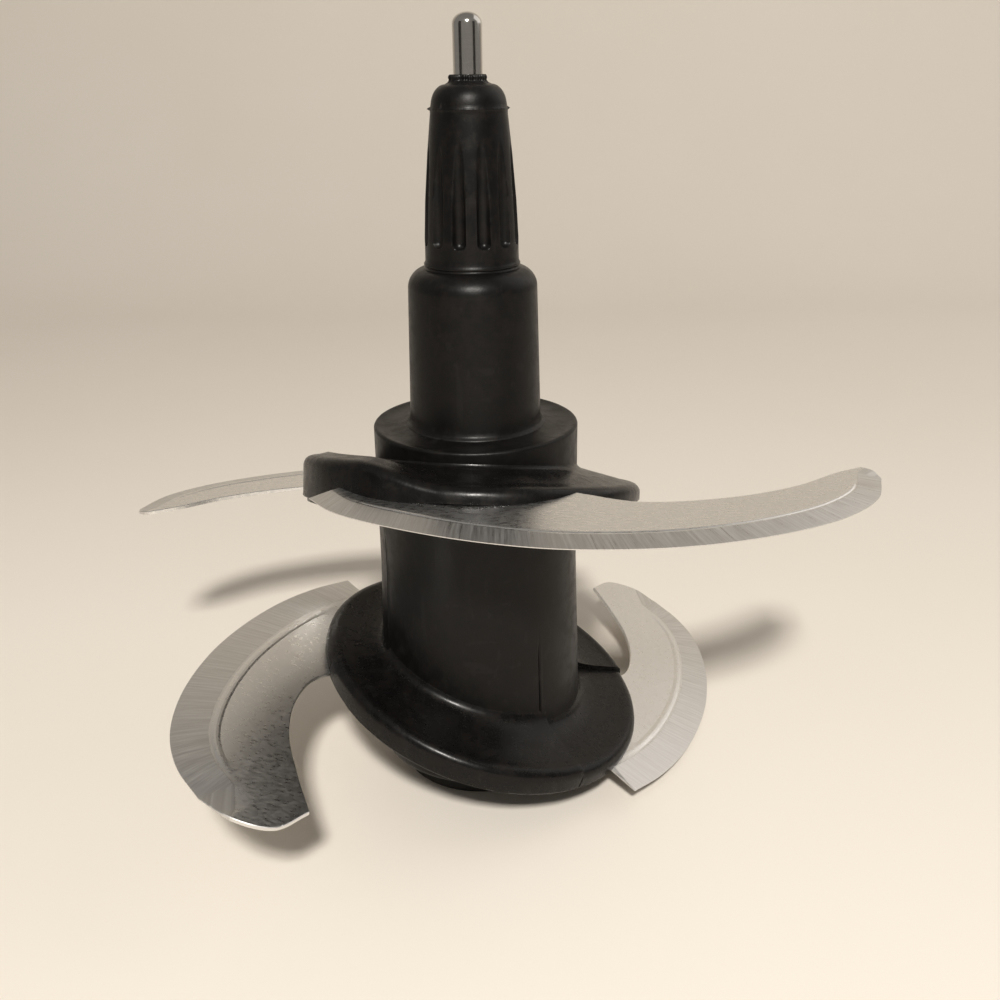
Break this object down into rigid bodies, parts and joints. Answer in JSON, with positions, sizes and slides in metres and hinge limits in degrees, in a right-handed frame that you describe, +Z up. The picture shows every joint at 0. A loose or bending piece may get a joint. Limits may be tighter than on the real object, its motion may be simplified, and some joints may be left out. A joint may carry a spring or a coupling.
{
  "type": "food chopper blade rotor",
  "caption": "Upright chopping rotor: a fluted black drive spindle with a steel centring pin over a hollow hub whose two skew flanges hold curved steel wings.",
  "frame": {"origin": "centre of the post bore's mouth, on the plane of the foot ring", "axes": "+Z up the rotor's axis through the centring pin; +X toward the tip of the long front wing's sweep, seen from the front with -Y toward the viewer"},
  "size_m": [0.1424, 0.1112, 0.1429],
  "materials": {
    "polished_steel": "polished",
    "blade_steel": "satin, with ground edges",
    "plain_steel": "turned",
    "spindle_plastic": "satin, moulded black",
    "hub_plastic": "satin, moulded black",
    "bush_bronze": "sintered",
    "foot_rubber": "matte"
  },
  "bodies": {
    "root": {"centring_pin": "polished_steel", "drive_spindle": "spindle_plastic", "hub_barrel": "hub_plastic", "core_tube": "plain_steel", "post_bush": "bush_bronze", "thrust_disc": "plain_steel", "bottom_plate": "hub_plastic", "foot_ring": "foot_rubber", "upper_flange": "hub_plastic", "upper_blade_front": "blade_steel", "upper_blade_rear": "blade_steel", "upper_locking_pins": "plain_steel", "lower_flange_base": "hub_plastic", "lower_clamp_front": "hub_plastic", "lower_clamp_rear": "hub_plastic", "lower_lobe_left": "hub_plastic", "lower_lobe_right": "hub_plastic", "lower_blade_left": "blade_steel", "lower_blade_right": "blade_steel", "lower_locking_pins": "plain_steel"}
  },
  "joints": []
}
